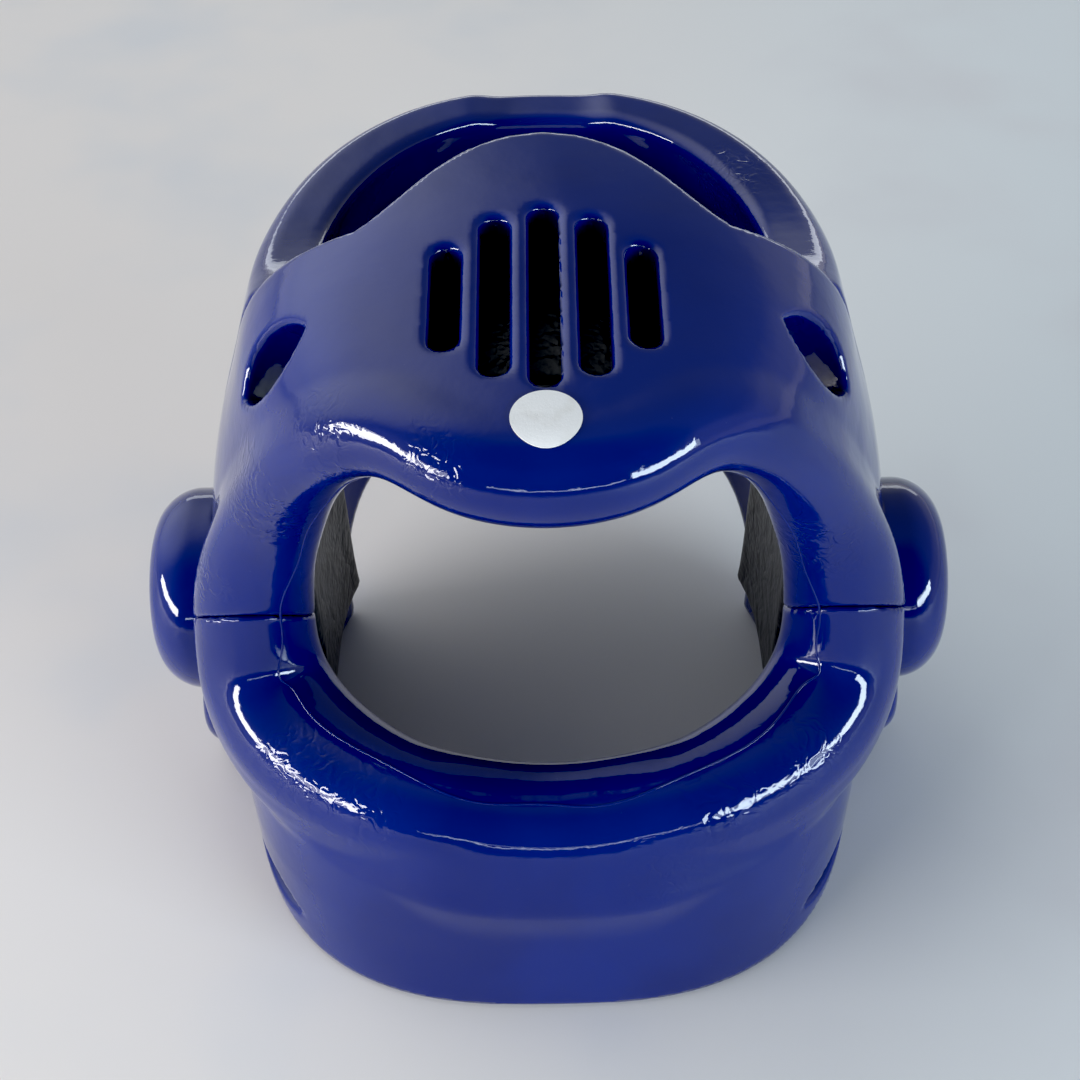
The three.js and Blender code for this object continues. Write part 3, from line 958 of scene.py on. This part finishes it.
liningLook = {
    "colour": (0.006, 0.006, 0.007, 1), "worn": (0.018, 0.018, 0.02, 1), "roughness": 0.40, "smudge": 0.25,
    "cells": 520.0, "cellAmount": 0.12, "folds": 85.0, "foldAmount": 1.5, "relief": 0.0016,
}


def liningCloth():
    material, tree, shader = newMaterial("liningCloth")
    nodes, links = tree.nodes, tree.links
    vector = nodes.new("ShaderNodeTexCoord").outputs["Object"]
    cells = nodes.new("ShaderNodeTexVoronoi")
    cells.inputs["Scale"].default_value = liningLook["cells"]
    links.new(vector, cells.inputs["Vector"])
    waves = noise(tree, vector, liningLook["folds"], 2.0, 0.45, 0.3)
    folds = maths(tree, "ABSOLUTE", maths(tree, "SUBTRACT", waves, 0.5))
    height = maths(tree, "MULTIPLY", folds, liningLook["foldAmount"])
    height = maths(tree, "MULTIPLY_ADD", cells.outputs["Distance"], liningLook["cellAmount"], height)
    addBump(tree, shader, height, 0.9, liningLook["relief"])
    film = place(tree, smudge, Vector=vector, Base=liningLook["roughness"], Amount=liningLook["smudge"])
    worn = mapRange(tree, folds, 0.0, 0.12, 1.0, 0.0)
    links.new(mixColour(tree, worn, liningLook["colour"], liningLook["worn"]), shader.inputs["Base Color"])
    links.new(film.outputs["Roughness"], shader.inputs["Roughness"])
    return material


paperLook = {
    "colour": (0.83, 0.83, 0.81, 1), "aged": (0.74, 0.73, 0.69, 1), "roughness": 0.42, "smudge": 0.15,
    "fibres": 1400.0, "stains": 120.0, "relief": 0.0002,
}


def labelPaper():
    material, tree, shader = newMaterial("labelPaper")
    nodes, links = tree.nodes, tree.links
    vector = nodes.new("ShaderNodeTexCoord").outputs["Object"]
    stain = mapRange(tree, noise(tree, vector, paperLook["stains"], 3.0), 0.45, 0.75)
    links.new(mixColour(tree, stain, paperLook["colour"], paperLook["aged"]), shader.inputs["Base Color"])
    addBump(tree, shader, noise(tree, vector, paperLook["fibres"], 4.0, 0.65), 0.35, paperLook["relief"])
    film = place(tree, smudge, Vector=vector, Base=paperLook["roughness"], Amount=paperLook["smudge"])
    links.new(film.outputs["Roughness"], shader.inputs["Roughness"])
    return material


vinyl, cloth, paper = glossVinyl(), liningCloth(), labelPaper()
print("materials made")

beadPiece = makeMouldLine(vinyl)
print("mould line made")

nodeOf = {
    "frontShell": "front_shell", "chinGuard": "chin_guard", "rearShell": "rear_shell",
    "earPadLeft": "ear_pad_left", "earPadRight": "ear_pad_right",
    "earLobeLeft": "ear_lobe_left", "earLobeRight": "ear_lobe_right",
    "liningCrown": "liner_crown", "liningRear": "liner_rear",
    "liningLeft": "liner_left", "liningRight": "liner_right", "sizeLabel": "size_label",
}
foamPieces = [frontPiece, chinPiece, rearPiece, *padPieces]
for piece in foamPieces + liningPieces + [labelPiece]:
    material, slotName = vinyl, "blue_foam"
    if piece in liningPieces:
        material, slotName = cloth, "black_lining"
    if piece is labelPiece:
        material, slotName = paper, "white_label"
    piece.data.materials.append(material)
    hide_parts(nodeOf[piece.name])
    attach(piece, "root")
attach(beadPiece, "root")
print("pieces dressed")

table = {
    "half": 4.0, "warm": (0.80, 0.755, 0.71, 1), "cool": (0.73, 0.76, 0.76, 1),
    "mottle": (0.70, 0.70, 0.70, 1), "roughness": 0.6, "smudge": 0.1,
    # the x between which warm turns to cool, and the scale of the mottling
    "turn": (-0.15, 0.30), "mottles": 7.0,
}


def makeTable():
    half = table["half"]
    corners = [(-half, -half, 0), (half, -half, 0), (half, half, 0), (-half, half, 0)]
    mesh = bpy.data.meshes.new("floor")
    mesh.from_pydata(corners, [], [(0, 1, 2, 3)])
    floor = addObject("floor", mesh)
    material, tree, shader = newMaterial("paleTable")
    vector = tree.nodes.new("ShaderNodeTexCoord").outputs["Object"]
    split = tree.nodes.new("ShaderNodeSeparateXYZ")
    tree.links.new(vector, split.inputs["Vector"])
    across = mapRange(tree, split.outputs["X"], *table["turn"])
    patches = mapRange(tree, noise(tree, vector, table["mottles"], 3.0), 0.45, 0.75)
    colour = mixColour(tree, across, table["warm"], table["cool"])
    tree.links.new(mixColour(tree, patches, colour, table["mottle"]), shader.inputs["Base Color"])
    film = place(tree, smudge, Vector=vector, Base=table["roughness"], Amount=table["smudge"])
    tree.links.new(film.outputs["Roughness"], shader.inputs["Roughness"])
    mesh.materials.append(material)


makeTable()

studio = {
    "ceiling": (0.25, 0.28, 0.32, 1), "wall": (0.42, 0.44, 0.46, 1), "low": (0.60, 0.60, 0.61, 1),
    # the rise of a look between which wall turns to ceiling, and low to wall
    "ceilingRise": (0.22, 0.45), "wallRise": (0.02, 0.10), "strength": 1.0,
    # the dim side where the viewer stands, and a soft bright patch of ceiling behind and to the left:
    # colour, direction, how near to it the colour begins and is full
    "zones": [
        ((0.035, 0.04, 0.05, 1), (0.05, -0.92, 0.40), 0.35, 0.80),
        ((1.4, 1.45, 1.5, 1), (-0.62, 0.50, 0.60), 0.70, 1.0),
    ],
    "exposure": 0.25, "blackLevel": 0.010,
    # name, place, target, size, power, colour
    "lights": [
        ("windowLeft", (-1.45, -0.75, 0.40), (0, 0, 0.10), (1.5, 0.22), 25, (0.98, 0.97, 1.0)),
        ("windowRight", (1.25, -1.10, 0.46), (0, 0, 0.10), (1.1, 0.24), 18, (0.74, 0.88, 1.0)),
        ("skyFront", (0.1, -1.9, 0.42), (0, 0, 0.10), (1.6, 0.05), 2.2, (0.85, 0.93, 1.0)),
        ("windowRear", (0.2, 2.3, 0.40), (0, 0, 0.10), (2.6, 0.3), 4, (0.90, 0.95, 1.0)),
    ],
}


def makeWorld():
    world = bpy.data.worlds.new("studio")
    world.use_nodes = True
    tree = world.node_tree
    direction = tree.nodes.new("ShaderNodeTexCoord").outputs["Generated"]
    split = tree.nodes.new("ShaderNodeSeparateXYZ")
    tree.links.new(direction, split.inputs["Vector"])
    upper = mapRange(tree, split.outputs["Z"], *studio["ceilingRise"])
    lower = mapRange(tree, split.outputs["Z"], *studio["wallRise"], 1.0, 0.0)
    colour = mixColour(tree, upper, studio["wall"], studio["ceiling"])
    colour = mixColour(tree, lower, colour, studio["low"])
    for shade, towards, start, full in studio["zones"]:
        facing = tree.nodes.new("ShaderNodeVectorMath")
        facing.operation = "DOT_PRODUCT"
        tree.links.new(direction, facing.inputs[0])
        facing.inputs[1].default_value = Vector(towards).normalized()
        zone = mapRange(tree, facing.outputs["Value"], start, full)
        colour = mixColour(tree, zone, colour, shade)
    background = tree.nodes["Background"]
    tree.links.new(colour, background.inputs["Color"])
    background.inputs["Strength"].default_value = studio["strength"]
    bpy.context.scene.world = world


def softLight(name, spot, target, size, power, colour):
    data = bpy.data.lights.new(name, "AREA")
    data.shape = "RECTANGLE"
    data.size, data.size_y = size
    data.energy = power
    data.color = colour
    lamp = addObject(name, data)
    lamp.location = spot
    lamp.rotation_euler = (Vector(target) - Vector(spot)).to_track_quat("-Z", "Y").to_euler()


makeWorld()
for light in studio["lights"]:
    softLight(*light)

view = {
    "elevation": 44.0, "distance": 0.5916, "target": (0, 0, 0.0865), "roll": 0.9,
    "lens": 58.63, "sensor": 36, "shift": -8 / 1080,
}


def makeCamera():
    data = bpy.data.cameras.new("photoView")
    data.lens = view["lens"]
    data.sensor_width = view["sensor"]
    data.shift_x = view["shift"]
    camera = addObject("photoView", data)
    rise = math.radians(view["elevation"])
    target = Vector(view["target"])
    camera.location = target + view["distance"] * Vector((0, -math.cos(rise), math.sin(rise)))
    facing = (target - camera.location).to_track_quat("-Z", "Y").to_matrix().to_4x4()
    camera.rotation_euler = (facing @ Matrix.Rotation(math.radians(-view["roll"]), 4, "Z")).to_euler()
    bpy.context.scene.camera = camera


makeCamera()

# plain colours with slightly deepened blacks
colours = bpy.context.scene.view_settings
colours.view_transform = "Standard"
colours.exposure = studio["exposure"]
colours.use_curve_mapping = True
colours.curve_mapping.black_level = (studio["blackLevel"],) * 3
colours.curve_mapping.update()
print("studio made")
